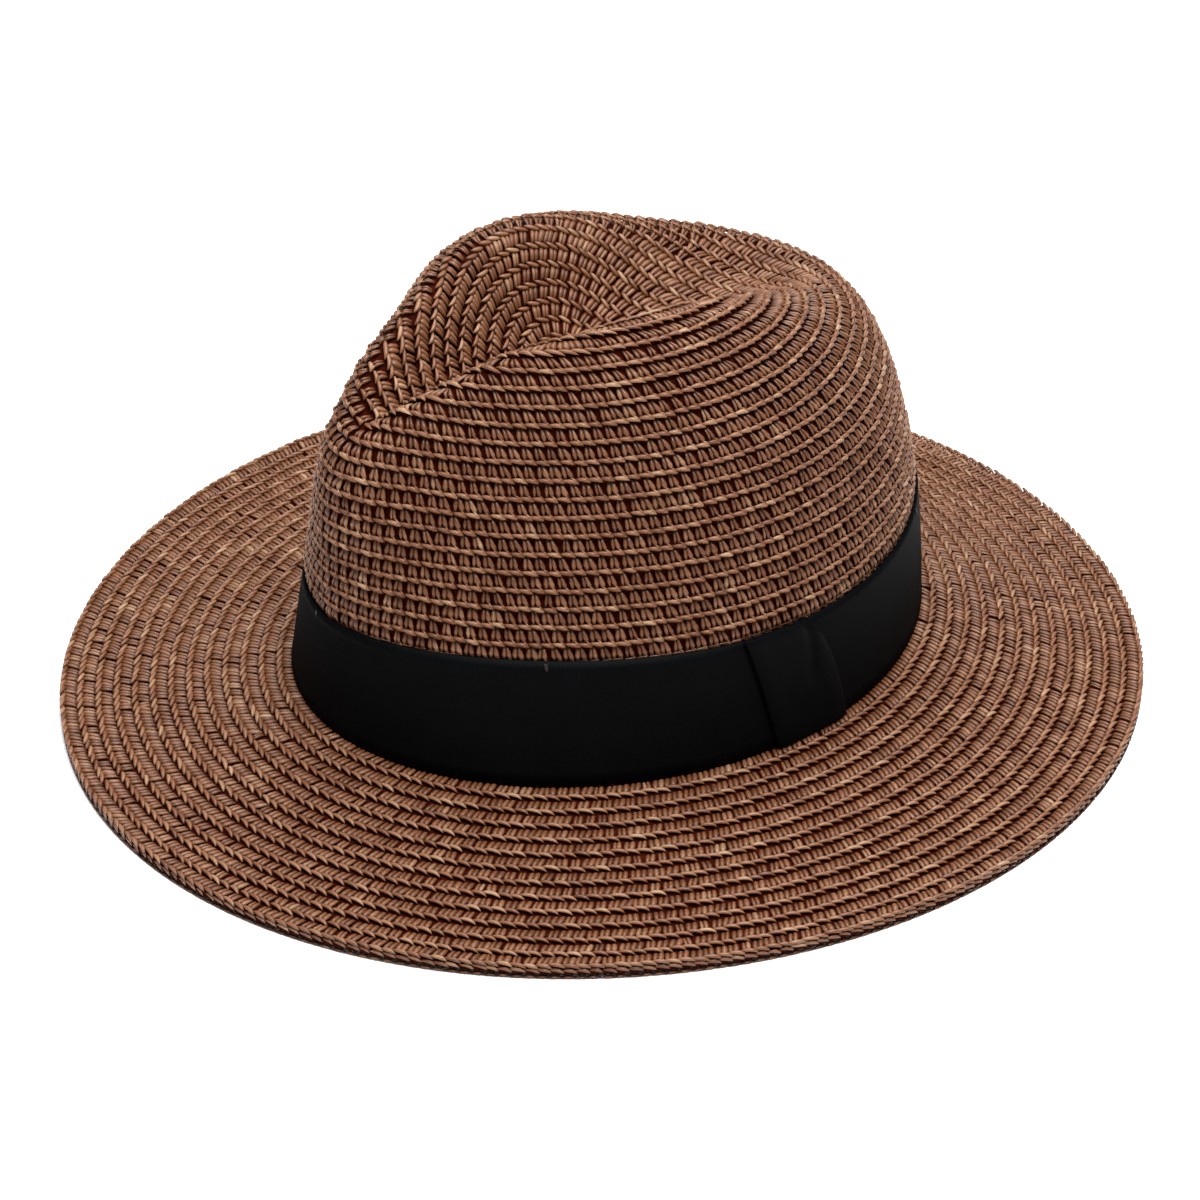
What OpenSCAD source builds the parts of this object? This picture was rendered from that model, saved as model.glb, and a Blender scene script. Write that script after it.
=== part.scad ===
// Straw sun hat: teardrop crown and wide brim of sewn paper plait, with a ribbon band,
// a ribbon keeper and an adjustable sweatband inside.
// Millimetres. +Z is up, the front of the hat faces -Y and the wearer's left is +X.
// The hat stands on its brim edge at z = 0, centred on the Z axis.
// The angle t runs round the hat: 0 at the front, 90 at the wearer's left, 180 at the back.

/* [Head opening] */
// Girth inside the sweatband
head_girth = 563; // [520:1:620]
// Length of the head opening over its width
head_ratio = 1.23; // [1.12:0.01:1.32]
// How much fuller the back of the head opening is than its front
head_egg = 0.07; // [0:0.01:0.12]
// Rise of the headline at front and back, and its dip at the sides
head_saddle = 2.3; // [0:0.1:5]

/* [Plait] */
// Thickness of the sewn plait
plait_t = 2.4; // [1.8:0.1:3]
// Width that one row of plait shows
row_w = 5.5; // [4.6:0.1:6.6]

/* [Crown] */
// Height of the two top ridges above the headline, before the arch
ridge_h = 110.4; // [95:0.1:134]
// Arch of the ridges: higher over the middle, lower at nose and back
ridge_arch = 11.3; // [0:0.1:14]
// Extra height of the nose over the back end of the ridges
ridge_nose_rise = 4.5; // [-4:0.1:6]
// Depth of the notch between the ridges at the nose
nose_notch = 4.1; // [0:0.1:5]
// Distance of the nose behind the front of the headline
inset_front = 15.6; // [12:0.1:26]
// Distance of the back end of the ridges inside the headline
inset_back = 42.9; // [34:0.1:50]
// Distance of the ridges inside the headline at their widest reach
inset_side = 47.3; // [42:0.1:54]
// How much the ridges draw in behind the nose
ridge_waist = 4.6; // [0:0.1:5.5]
// Pointedness of the teardrop: larger pinches the nose more
tear_power = 0.21; // [0.15:0.01:0.6]
// Height of the dent floor above the headline
dent_floor_h = 93.5; // [76:0.1:96]
// Half length of the flat strip on the dent floor
dent_half_len = 30; // [20:1:36]
// Depth of the two side pinches behind the nose
pinch_depth = 17.5; // [0:0.5:20]
// Angle of the side pinches from the front
pinch_at = 46; // [34:1:56]
// Spread of each side pinch
pinch_spread = 31; // [18:1:34]

/* [Brim] */
// Width of the brim along its slope
brim_w = 72.6; // [58:0.1:92]
// Extra brim width at the sides, taken off at front and back
brim_side_extra = 2.2; // [0:0.1:6]
// Drop of the brim edge below the headline
brim_drop = 11.7; // [6:0.1:20]
// Forward lean of the crown over the level brim edge, in degrees
crown_rake = 1.8; // [0:0.1:4]
// Thickness added above and below where the edge row is folded double
edge_bulge = 0.55; // [0.5:0.05:0.9]
// Diameter of the nylon line inside the edge row
line_d = 1.2; // [1:0.1:1.3]
// Half the angle that the joiner sleeve of the line spans
sleeve_half_angle = 5; // [5:5:10]

/* [Ribbon] */
// Width of the ribbon band
ribbon_w = 38; // [28:0.5:46]
// Thickness of the ribbon
ribbon_t = 0.9; // [0.6:0.1:1.4]
// Width of the ribbon keeper round the hat
keeper_w = 27; // [18:0.5:34]
// Thickness of the folded keeper
keeper_t = 1.8; // [1.2:0.1:2.6]
// Angle of the keeper's middle
keeper_at = 92; // [82:1:100]
// How far the keeper's top leans towards the front
keeper_lean = 8; // [0:0.5:10]
// Number of places where the ribbon is tacked to the crown
tack_count = 6; // [4:1:8]

/* [Sweatband] */
// Height of the sweatband
sweat_h = 30; // [24:0.5:38]
// Thickness of the sweatband
sweat_t = 1.2; // [0.8:0.1:1.6]
// Number of long stitches that hold the sweatband
stitch_count = 60; // [40:4:80]
// Length of one of those stitches
stitch_len = 5; // [3:0.5:6]
// Width of the loop tape of the size strap
strap_w = 16; // [12:0.5:18]
// Thickness of the loop tape and of the hook tab
strap_t = 1.2; // [0.9:0.1:1.5]
// Half the angle that the loop tape spans at the back
strap_half_angle = 29; // [24:1:32]
// Length of the hook tab round the band
tab_len = 30; // [24:1:34]
// Travel of the hook tab round the band
tab_travel = 20; // [12:1:22]

/* [Hidden] */

straw = "#6b4636";
black_ribbon = "#101114";
black_cloth = "#1b1b1d";
black_hook = "#242427";
thread = "#2a1a14";
nylon = "#c9c4b8";

// Clearance between layers that lie on each other
gap = 0.3;
// Clearance between the nylon line and its channel, and inside the sleeve
line_gap = 0.15;
// Wall of the joiner sleeve
sleeve_wall = 0.3;
// Angle between the stations that every ring is built on
step = 5;
ring_steps = 360 / step;
wall_rows = 15;
tip_rows = 10;

// Half axes of the head opening, inside the sweatband and outside the plait
opening_b = head_girth / (PI * (3 * (head_ratio + 1) - sqrt((3 * head_ratio + 1) * (head_ratio + 3))));
opening_a = opening_b * head_ratio;
layers = plait_t + gap + sweat_t;
out_b = opening_b + layers;
out_a = opening_a + layers;

// Unit vector along v, and along v with its height dropped
function unit(v) = v / max(norm(v), 1e-6);
function flat_unit(v) = unit([v.x, v.y, 0]);

// The headline: where the outside of the crown meets the brim, and its outward direction
function headline(t) = [
    out_b * sin(t) * (1 - head_egg * cos(t)),
    -out_a * cos(t),
    head_saddle * cos(2 * t)];
function outward(t) = unit([
    out_a * sin(t),
    -out_b * (cos(t) * (1 - head_egg * cos(t)) + head_egg * sin(t) * sin(t)),
    0]);

function from_front(t) = min(t, 360 - t);
// A smooth hump of height 1 at the angle at, on both sides of the hat
function hump(t, at, width) = exp(-pow((from_front(t) - at) / width, 2));

// The two ridges form one teardrop, drawn in behind the nose and notched at it
waist_at = 52;
waist_spread = 18;
notch_spread = 14;
ridge_half_len = out_a - (inset_front + inset_back) / 2;
ridge_mid_y = (inset_front - inset_back) / 2;
function ridge(t) = [
    sin(t) * ((out_b - inset_side) * pow(abs(sin(t / 2)), tear_power)
        - ridge_waist * hump(t, waist_at, waist_spread)),
    ridge_mid_y - ridge_half_len * cos(t),
    ridge_h + ridge_nose_rise * cos(t) - ridge_arch * cos(2 * t) - nose_notch * hump(t, 0, notch_spread)];
// The strip on the dent floor that the plait starts from
dent_half_width = 2.5;
function dent_strip(t) = [
    dent_half_width * sin(t),
    ridge_mid_y + 7.5 - dent_half_len * cos(t),
    dent_floor_h];

// Handles of the wall curve: how long it stays upright, and how broad its shoulder is
function wall_pull(t) = 94.6 - 22.6 * cos(t) + 6.2 * cos(2 * t);
function pinch(t) = pinch_depth * hump(t, pinch_at, pinch_spread);
function lean_in(t) = 2.6 - 2.1 * cos(t) + 0.9 * pinch(t);
function shoulder(t) = max(12.8 + 8.9 * cos(t) - 4.3 * cos(2 * t) - 1.04 * pinch(t), least_shoulder);
least_shoulder = 6;
ridge_lift = 1.2;
pinch_lift = 0.3;
ridge_round = 9;
floor_round = 25;

function bezier(p, v) = pow(1 - v, 3) * p[0] + 3 * pow(1 - v, 2) * v * p[1]
    + 3 * (1 - v) * v * v * p[2] + v * v * v * p[3];
function spread(t) = flat_unit(headline(t) - ridge(t));
function shoulder_point(t) = ridge(t) + spread(t) * shoulder(t) - [0, 0, ridge_lift + pinch_lift * pinch(t)];
function wall_curve(t) = [
    headline(t),
    headline(t) + [0, 0, wall_pull(t)] - spread(t) * lean_in(t),
    shoulder_point(t),
    ridge(t)];
function dent_reach(t) = (ridge(t) - dent_strip(t)) * flat_unit(ridge(t) - dent_strip(t));
// Keeps p on the same side of the middle plane as r, and at least half as far out
function same_side(p, r) = [sign(r.x) * max(sign(r.x) * p.x, 0.55 * abs(r.x)), p.y, p.z];
function dent_curve(t) = [
    ridge(t),
    same_side(ridge(t) + unit(ridge(t) - shoulder_point(t)) * min(ridge_round, 0.45 * dent_reach(t)),
        ridge(t)),
    dent_strip(t) + flat_unit(ridge(t) - dent_strip(t)) * min(floor_round, 0.5 * dent_reach(t)),
    dent_strip(t)];
// The outside of the crown: v from 0 at the headline, through 1 on the ridges, to 2 on the dent floor
function crown_point(t, v) = v <= 1 ? bezier(wall_curve(t), v) : bezier(dent_curve(t), v - 1);

// Where the wall is z above the headline, found by halving, then moved outward by off
function wall_v(t, z, low = 0, high = 0.6, n = 12) =
    n == 0 ? (low + high) / 2
    : crown_point(t, (low + high) / 2).z - headline(t).z < z
        ? wall_v(t, z, (low + high) / 2, high, n - 1)
        : wall_v(t, z, low, (low + high) / 2, n - 1);
function wall_point(t, z, off) = crown_point(t, wall_v(t, z)) + outward(t) * off;

// The top of the brim, r outward from the headline along the level
brim_edge_tilt = tan(crown_rake) * (out_a + brim_w);
function edge_z(t) = -brim_drop + brim_edge_tilt * cos(t);
function brim_fall(t) = edge_z(t) - headline(t).z;
function brim_reach(t) = sqrt(pow(brim_w - brim_side_extra * cos(2 * t), 2) - pow(brim_fall(t), 2));
function brim_point(t, r, dz) = headline(t) + outward(t) * r
    + [0, 0, brim_fall(t) * (1 - pow(1 - max(r, 0) / brim_reach(t), 1.5)) + dz];

// Skin over rings of points. A ring lists its section clockwise with the outside to the right.
// With closed = true the last ring joins the first, otherwise both ends are capped.
// With turned = true each four-sided face is split along its other diagonal.
module skin(rings, closed = true, turned = false) {
    n = len(rings[0]);
    m = len(rings);
    last = closed ? m - 1 : m - 2;
    sides = [for (k = [0:last], i = [0:n - 1]) let (
        k1 = (k + 1) % m,
        i1 = (i + 1) % n,
        a = k * n + i, b = k1 * n + i, c = k1 * n + i1, d = k * n + i1)
            each turned ? [[a, b, d], [b, c, d]] : [[a, b, c], [a, c, d]]];
    ends = closed ? [] : [[for (i = [0:n - 1]) i], [for (i = [n - 1:-1:0]) (m - 1) * n + i]];
    polyhedron([for (ring = rings) each ring], concat(sides, ends));
}

// Places a hat piece: leaned forward by the rake and raised on the brim edge
foot = brim_drop + plait_t + edge_bulge;
module worn() {
    translate([0, -brim_drop * sin(crown_rake), foot * cos(crown_rake)])
        rotate([crown_rake, 0, 0])
            children();
}

// Rows of the crown's outside, and the same rows moved in by the plait's thickness
stations = [0:step:360 - step];
crown_v = concat([for (k = [0:wall_rows]) k / wall_rows], [for (k = [1:tip_rows]) 1 + k / tip_rows]);
function crown_row(v) = [for (t = stations) crown_point(t, v)];
crown_rows = [for (v = crown_v) crown_row(v)];
function row_normal(k, i) =
    k == 0 ? outward(i * step)
    : k == wall_rows + tip_rows ? [0, 0, 1]
    : unit(cross(
        crown_rows[k][(i + 1) % ring_steps] - crown_rows[k][(i + ring_steps - 1) % ring_steps],
        crown_rows[k + 1][i] - crown_rows[k - 1][i]));
function inner_row(k) = [for (i = [0:ring_steps - 1]) crown_rows[k][i] - row_normal(k, i) * plait_t];

// The side of the crown runs from the headline up to the ridges, and the tip fills the ridges with the dent.
// They are one plait, and meet face to face along the ridges, where both split their faces alike.
module crown_side() color(straw) worn()
    skin(concat(
        [for (k = [wall_rows:-1:0]) inner_row(k)],
        [for (k = [0:wall_rows]) crown_rows[k]]));

module crown_tip() color(straw) worn()
    skin(concat(
        [for (k = [wall_rows + tip_rows:-1:wall_rows]) inner_row(k)],
        [for (k = [wall_rows:wall_rows + tip_rows]) crown_rows[k]]), closed = false, turned = true);

brim_stations = 7;
module brim() color(straw) worn()
    skin([for (t = stations) let (out = brim_reach(t) - row_w) concat(
        [brim_point(t, -plait_t, 0)],
        [for (k = [0:brim_stations]) brim_point(t, out * k / brim_stations, 0)],
        [for (k = [brim_stations:-1:0]) brim_point(t, out * k / brim_stations, -plait_t)],
        [brim_point(t, -plait_t, -plait_t)])]);

// A round section of radius rad about the middle of the edge row
line_in = row_w / 2;
function line_ring(t, rad) = [for (a = [0:45:315])
    brim_point(t, brim_reach(t) - row_w + line_in, -plait_t / 2) + outward(t) * rad * cos(-a)
        + [0, 0, rad * sin(-a)]];
line_r = line_d / 2;
sleeve_in = line_r + line_gap;
sleeve_out = sleeve_in + sleeve_wall;
function channel_r(t) = abs(t - 180) <= sleeve_half_angle ? sleeve_out + line_gap : line_r + line_gap;

module edge_row() color(straw) worn()
    difference() {
        skin([for (t = stations) let (r = brim_reach(t) - row_w) [
            brim_point(t, r, 0),
            brim_point(t, r + 0.2 * row_w, edge_bulge),
            brim_point(t, r + 0.75 * row_w, edge_bulge),
            brim_point(t, r + row_w, -plait_t / 4),
            brim_point(t, r + row_w, -3 * plait_t / 4),
            brim_point(t, r + 0.75 * row_w, -plait_t - edge_bulge),
            brim_point(t, r + 0.2 * row_w, -plait_t - edge_bulge),
            brim_point(t, r, -plait_t)]]);
        skin([for (t = stations) line_ring(t, channel_r(t))]);
    }

// The two ends of the line meet in the middle of the sleeve
line_end = 0.3;
line_stations = concat([180 + line_end], [for (k = [1:ring_steps - 1]) 180 + k * step], [540 - line_end]);
module edge_line() color(nylon) worn()
    skin([for (t = line_stations) line_ring(t, line_r)], closed = false);

// The sleeve is a tube: its rings run along the outside and come back along the bore
module edge_line_sleeve() color(nylon) worn()
    skin(concat(
        [for (t = [180 - sleeve_half_angle:step:180 + sleeve_half_angle]) line_ring(t, sleeve_out)],
        [for (t = [180 + sleeve_half_angle:-step:180 - sleeve_half_angle]) line_ring(t, sleeve_in)]));

// A strip on the wall, from z = low to high, between two distances from the crown's outside
function strip(t, low, high, inner, outer) = [
    wall_point(t, high, outer),
    wall_point(t, (2 * high + low) / 3, outer),
    wall_point(t, (high + 2 * low) / 3, outer),
    wall_point(t, low, outer),
    wall_point(t, low, inner),
    wall_point(t, (high + 2 * low) / 3, inner),
    wall_point(t, (2 * high + low) / 3, inner),
    wall_point(t, high, inner)];

ribbon_low = 0.8;
ribbon_high = ribbon_low + ribbon_w;
ribbon_out = gap + ribbon_t;
ribbon_end = 0.2;
ribbon_stations = concat([keeper_at + ribbon_end],
    [for (k = [1:ring_steps - 1]) keeper_at + k * step], [keeper_at + 360 - ribbon_end]);
module hat_ribbon() color(black_ribbon) worn()
    skin([for (t = ribbon_stations) strip(t % 360, ribbon_low, ribbon_high, gap, ribbon_out)],
        closed = false);

// Degrees of t for a length along the wall near the keeper, where the wall runs along Y
side_degrees = 180 / (PI * out_a);
keeper_in = ribbon_out + gap;
keeper_out = keeper_in + keeper_t;
keeper_half = keeper_w / 2 * side_degrees;
keeper_over = 0.5;
keeper_low = ribbon_low - keeper_over + 0.2;
keeper_high = ribbon_high + keeper_over;
function lean_at(t, z) = t - keeper_lean * side_degrees * (z - ribbon_w / 2) / ribbon_w;
function keeper_section(t) = let (mid_low = (keeper_high + 2 * keeper_low) / 3,
    mid_high = (2 * keeper_high + keeper_low) / 3) [
    for (p = [[keeper_high, keeper_out], [mid_high, keeper_out], [mid_low, keeper_out],
              [keeper_low, keeper_out], [keeper_low, keeper_in], [mid_low, keeper_in],
              [mid_high, keeper_in], [keeper_high, keeper_in]])
        wall_point(lean_at(t, p[0]), p[0], p[1])];
module ribbon_keeper() color(black_ribbon) worn()
    skin([for (k = [-1, -0.5, 0, 0.5, 1]) keeper_section(keeper_at + k * keeper_half)], closed = false);

// Moves a piece onto the wall: its X runs round the hat, its Y points outward
module on_wall(t, z, off) {
    p = wall_point(t, z, off);
    n = outward(t);
    translate(p)
        rotate([0, 0, atan2(n.y, n.x) - 90])
            children();
}

// Each tack is a short bar of thread on the ribbon's upper edge, and none is under the keeper
tack_size = [0.7, 0.6, 2.4];
tack_room = 360 - 4 * keeper_half;
module ribbon_tacks() color(thread) worn()
    for (k = [0:tack_count - 1])
        on_wall((keeper_at + 2 * keeper_half + tack_room * (k + 0.5) / tack_count) % 360,
                ribbon_high - 2, ribbon_out + 0.2)
            translate([-tack_size.x / 2, 0, -tack_size.z / 2])
                cube(tack_size);

sweat_out = -plait_t - gap;
sweat_in = sweat_out - sweat_t;
sweat_low = 0.5;
module sweatband() color(black_cloth) worn()
    skin([for (t = stations) strip(t, sweat_low, sweat_low + sweat_h, sweat_in, sweat_out)]);

// A lapped join at the wearer's right covers the two ends of the sweatband
join_at = 268;
join_half = 4;
join_t = 0.9;
module sweatband_join() color(black_cloth) worn()
    skin([for (t = [join_at - join_half, join_at, join_at + join_half])
        strip(t, sweat_low + 1, sweat_low + sweat_h - 1, sweat_in - gap - join_t, sweat_in - gap)],
        closed = false);

// A bare label is sewn to the sweatband at the wearer's left
label_at = 88;
label_half = 8;
label_t = 0.5;
module blank_label() color(black_hook) worn()
    skin([for (k = [-1:0.5:1])
        strip(label_at + k * label_half, sweat_low + 6, sweat_low + sweat_h - 6,
            sweat_in - gap - label_t, sweat_in - gap)], closed = false);

// Long running stitches along the lower edge of the sweatband
stitch_t = 0.5;
stitch_up = 1.6;
function stitch_free(t) = abs(t - join_at) > join_half + 3;
module sweatband_stitches() color(thread) worn()
    for (k = [0:stitch_count - 1]) let (t = 360 * (k + 0.5) / stitch_count)
        if (stitch_free(t))
            on_wall(t, sweat_low + stitch_up, sweat_in - stitch_t - 0.25)
                translate([-stitch_len / 2, 0, -stitch_t / 2])
                    cube([stitch_len, stitch_t, stitch_t]);

// The loop tape lies on the back of the sweatband, on a true circle about the Z direction
back_curve = pow(opening_b * (1 + head_egg), 2) / opening_a;
strap_low = sweat_low + 5;
strap_high = strap_low + strap_w;
strap_out = back_curve - (opening_a - wall_point(180, strap_high, sweat_in).y) - gap;
strap_centre_y = opening_a - back_curve;
tab_out = strap_out - strap_t - gap;
tab_in = tab_out - strap_t;
strap_base = headline(180).z + strap_low;
tab_angle = tab_len / tab_in * 180 / PI;
travel_angle = tab_travel / tab_in * 180 / PI;
// The tab rests at the large end of its travel, which is centred on the back
tab_start = 90 - travel_angle / 2;

// Part of a ring wall about the strap's centre, from angle a0 over a1 degrees
module arc_wall(r_in, r_out, a0, a1, z0, z1)
    translate([0, strap_centre_y, z0])
        rotate([0, 0, a0])
            rotate_extrude(angle = a1, $fn = 96)
                translate([r_in, 0])
                    square([r_out - r_in, z1 - z0]);

module size_strap() color(black_cloth) worn()
    arc_wall(strap_out - strap_t, strap_out, 90 - strap_half_angle, 2 * strap_half_angle,
        strap_base, strap_base + strap_w);

module size_tab() color(black_hook) worn()
    arc_wall(tab_in, tab_out, tab_start - tab_angle / 2, tab_angle, strap_base + 1, strap_base + strap_w - 1);

// A bar tack across each end of the loop tape
tack_angle = 1.4;
module strap_tacks() color(thread) worn()
    for (side = [-1, 1])
        arc_wall(tab_out, strap_out - strap_t - 0.1, 90 + side * (strap_half_angle - 2) - tack_angle / 2,
            tack_angle, strap_base + 0.6, strap_base + strap_w - 0.6);

crown_side();
crown_tip();
brim();
edge_row();
edge_line();
edge_line_sleeve();
hat_ribbon();
ribbon_keeper();
ribbon_tacks();
sweatband();
sweatband_join();
sweatband_stitches();
size_strap();
strap_tacks();
size_tab();
blank_label();
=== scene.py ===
"""Straw sun hat: a teardrop crown and a wide brim of knitted paper plait sewn in rows, with a black
grosgrain ribbon and keeper outside, and a sweatband with a sliding size tab inside.

The hat's surface is a formula in millimetres, the same one that its construction uses. The angle t
runs round the hat: 0 at the front, 90 at the wearer's left, 180 at the back."""

from math import cos, pi, radians, sin, tan

import bpy
import numpy as np
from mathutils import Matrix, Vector
from mathutils.bvhtree import BVHTree


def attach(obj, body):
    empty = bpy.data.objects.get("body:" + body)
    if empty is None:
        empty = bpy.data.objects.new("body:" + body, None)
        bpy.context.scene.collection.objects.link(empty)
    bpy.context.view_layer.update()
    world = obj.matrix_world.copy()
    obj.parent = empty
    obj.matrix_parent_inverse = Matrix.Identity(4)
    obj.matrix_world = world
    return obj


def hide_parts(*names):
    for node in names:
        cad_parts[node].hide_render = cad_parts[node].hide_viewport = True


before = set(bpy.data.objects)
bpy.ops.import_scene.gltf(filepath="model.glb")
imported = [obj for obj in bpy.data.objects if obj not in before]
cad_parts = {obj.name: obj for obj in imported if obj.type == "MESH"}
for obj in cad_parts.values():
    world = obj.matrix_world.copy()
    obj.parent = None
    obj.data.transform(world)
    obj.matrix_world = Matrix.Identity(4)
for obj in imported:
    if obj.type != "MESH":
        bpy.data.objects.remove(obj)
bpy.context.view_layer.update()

MM = 0.001
Z = np.array([0.0, 0.0, 1.0])
# The one source of chance, so that every run gives the same hat
hazard = np.random.RandomState(20)

# ---------------------------------------------------------------- sizes, in mm and degrees

HEAD_GIRTH, HEAD_RATIO, HEAD_EGG, HEAD_SADDLE = 563, 1.23, 0.07, 2.3
PLAIT_T, SWEAT_T, GAP = 2.4, 1.2, 0.3
RIDGE_H, RIDGE_ARCH, NOSE_RISE, NOSE_NOTCH = 110.4, 11.3, 4.5, 4.1
INSET_FRONT, INSET_BACK, INSET_SIDE, RIDGE_WAIST, TEAR_POWER = 15.6, 42.9, 47.3, 4.6, 0.21
DENT_FLOOR_H, DENT_HALF_LEN, DENT_HALF_WIDTH, DENT_SHIFT = 93.5, 30, 2.5, 7.5
PINCH_DEPTH, PINCH_AT, PINCH_SPREAD = 17.5, 46, 31
BRIM_W, BRIM_SIDE_EXTRA, BRIM_DROP, RAKE = 72.6, 2.2, 11.7, radians(1.8)
EDGE_BULGE = 0.55
RIBBON_LOW, RIBBON_W, RIBBON_T, TACK_COUNT = 0.8, 38, 0.9, 6
KEEPER_W, KEEPER_AT, KEEPER_LEAN = 27, 92, 8
SWEAT_LOW, SWEAT_H = 0.5, 30
JOIN_AT, JOIN_HALF, JOIN_T = 268, 4, 0.9
LABEL_AT, LABEL_HALF, LABEL_T = 88, 8, 0.5
STITCH_COUNT, STITCH_LEN = 60, 5
STRAP_W, STRAP_T, STRAP_HALF_ANGLE, TAB_LEN, TAB_TRAVEL = 16, 1.2, 29, 30, 20

# Rows of plait: the width that one row shows, the rows of the crown and the brim, and a stitch's length
ROW_W, CROWN_ROWS, BRIM_ROWS, STITCH = 5.45, 34, 13, 3.5
# The skins of the hat are gridded at every degree round it and at this share of a row
ROW_SHARE = 0.125

around = HEAD_RATIO + 1
opening_b = HEAD_GIRTH / (pi * (3 * around - ((3 * HEAD_RATIO + 1) * (HEAD_RATIO + 3)) ** 0.5))
out_b = opening_b + PLAIT_T + GAP + SWEAT_T
out_a = opening_b * HEAD_RATIO + PLAIT_T + GAP + SWEAT_T
ridge_half_len = out_a - (INSET_FRONT + INSET_BACK) / 2
ridge_mid_y = (INSET_FRONT - INSET_BACK) / 2

# ---------------------------------------------------------------- the hat's surface


def stack(x, y, z):
    return np.stack(np.broadcast_arrays(x, y, z), axis=-1).astype(float)


def unit(v):
    return v / np.maximum(np.linalg.norm(v, axis=-1, keepdims=True), 1e-6)


def flat_unit(v):
    return unit(v * [1, 1, 0])


def headline(t):
    """The egg-shaped line, outside the plait, where the crown's wall meets the brim."""
    a = np.radians(t)
    half_width = out_b * (1 - HEAD_EGG * np.cos(a))
    return stack(half_width * np.sin(a), -out_a * np.cos(a), HEAD_SADDLE * np.cos(2 * a))


def outward(t):
    """The level direction square to the headline."""
    a = np.radians(t)
    narrowing = np.cos(a) * (1 - HEAD_EGG * np.cos(a)) + HEAD_EGG * np.sin(a) ** 2
    return unit(stack(out_a * np.sin(a), -out_b * narrowing, 0))


def hump(t, at, width):
    """A smooth hump of height 1 at the angle at, on both sides of the hat."""
    return np.exp(-((np.minimum(t, 360 - t) - at) / width) ** 2)


def ridge(t):
    """The crest of the crown: a teardrop seen from above, that arches and is notched at the nose."""
    a = np.radians(t)
    teardrop = np.abs(np.sin(a / 2)) ** TEAR_POWER
    half_width = (out_b - INSET_SIDE) * teardrop - RIDGE_WAIST * hump(t, 52, 18)
    height = RIDGE_H + NOSE_RISE * np.cos(a) - RIDGE_ARCH * np.cos(2 * a) - NOSE_NOTCH * hump(t, 0, 14)
    return stack(half_width * np.sin(a), ridge_mid_y - ridge_half_len * np.cos(a), height)


def dent_strip(t):
    """The narrow flat strip on the floor of the dent."""
    a = np.radians(t)
    middle = ridge_mid_y + DENT_SHIFT
    return stack(DENT_HALF_WIDTH * np.sin(a), middle - DENT_HALF_LEN * np.cos(a), DENT_FLOOR_H)


def pinch(t):
    """How far the wall is pressed in on both sides of the nose."""
    return (PINCH_DEPTH * hump(t, PINCH_AT, PINCH_SPREAD))[..., None]


def shoulder_point(t):
    """The control point that rounds the wall over to the ridge."""
    a = np.radians(t)[..., None]
    breadth = np.maximum(12.8 + 8.9 * np.cos(a) - 4.3 * np.cos(2 * a) - 1.04 * pinch(t), 6)
    return ridge(t) + flat_unit(headline(t) - ridge(t)) * breadth - (1.2 + 0.3 * pinch(t)) * Z


def bezier(p, v):
    """Points at each v in turn along the curves with the four control points p."""
    v = v[:, None]
    shares = (1 - v) ** 3, 3 * (1 - v) ** 2 * v, 3 * (1 - v) * v * v, v ** 3
    return sum(share * q[..., None, :] for share, q in zip(shares, p))


def wall_curve(t):
    """Control points of the wall, from the headline up to the ridge."""
    a = np.radians(t)[..., None]
    spread = flat_unit(headline(t) - ridge(t))
    upright = 94.6 - 22.6 * np.cos(a) + 6.2 * np.cos(2 * a)
    lean_in = 2.6 - 2.1 * np.cos(a) + 0.9 * pinch(t)
    return [headline(t), headline(t) + upright * Z - spread * lean_in, shoulder_point(t), ridge(t)]


def dent_curve(t):
    """Control points of the dent, from the ridge down to its floor. The curve starts as the wall ends."""
    top, floor = ridge(t), dent_strip(t)
    inward = flat_unit(top - floor)
    reach = np.sum((top - floor) * inward, axis=-1, keepdims=True)
    over = top + unit(top - shoulder_point(t)) * np.minimum(9, 0.45 * reach)
    side = np.sign(top[..., 0])
    over[..., 0] = side * np.maximum(side * over[..., 0], 0.55 * np.abs(top[..., 0]))
    return [top, over, floor + inward * np.minimum(25, 0.5 * reach), floor]


def edge_z(t):
    return -BRIM_DROP + tan(RAKE) * (out_a + BRIM_W) * np.cos(np.radians(t))


def brim_reach(t):
    """How far out from the headline the brim's edge is, seen from above."""
    fall = edge_z(t) - headline(t)[..., 2]
    return np.sqrt((BRIM_W - BRIM_SIDE_EXTRA * np.cos(2 * np.radians(t))) ** 2 - fall ** 2)


def brim_point(t, r):
    """Points on the brim's upper face, r mm out from the headline."""
    fall = edge_z(t) - headline(t)[..., 2]
    drop = fall * (1 - (1 - np.maximum(r, 0) / brim_reach(t)) ** 1.5)
    return headline(t) + outward(t) * r[..., None] + drop[..., None] * Z


def worn(points):
    """Places points of the hat as it stands: leaned forward by the rake and raised on the brim edge."""
    foot = BRIM_DROP + PLAIT_T + EDGE_BULGE
    x, y, z = np.moveaxis(np.asarray(points, float), -1, 0)
    return stack(x, y * cos(RAKE) - z * sin(RAKE) - BRIM_DROP * sin(RAKE),
                 y * sin(RAKE) + z * cos(RAKE) + foot * cos(RAKE)) * MM


def on_line(where, numbers, line):
    """Points of a polyline at the numbers in where. numbers has the number of each of its own points."""
    return np.stack([np.interp(where, numbers, line[:, i]) for i in range(3)], axis=-1)


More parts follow.
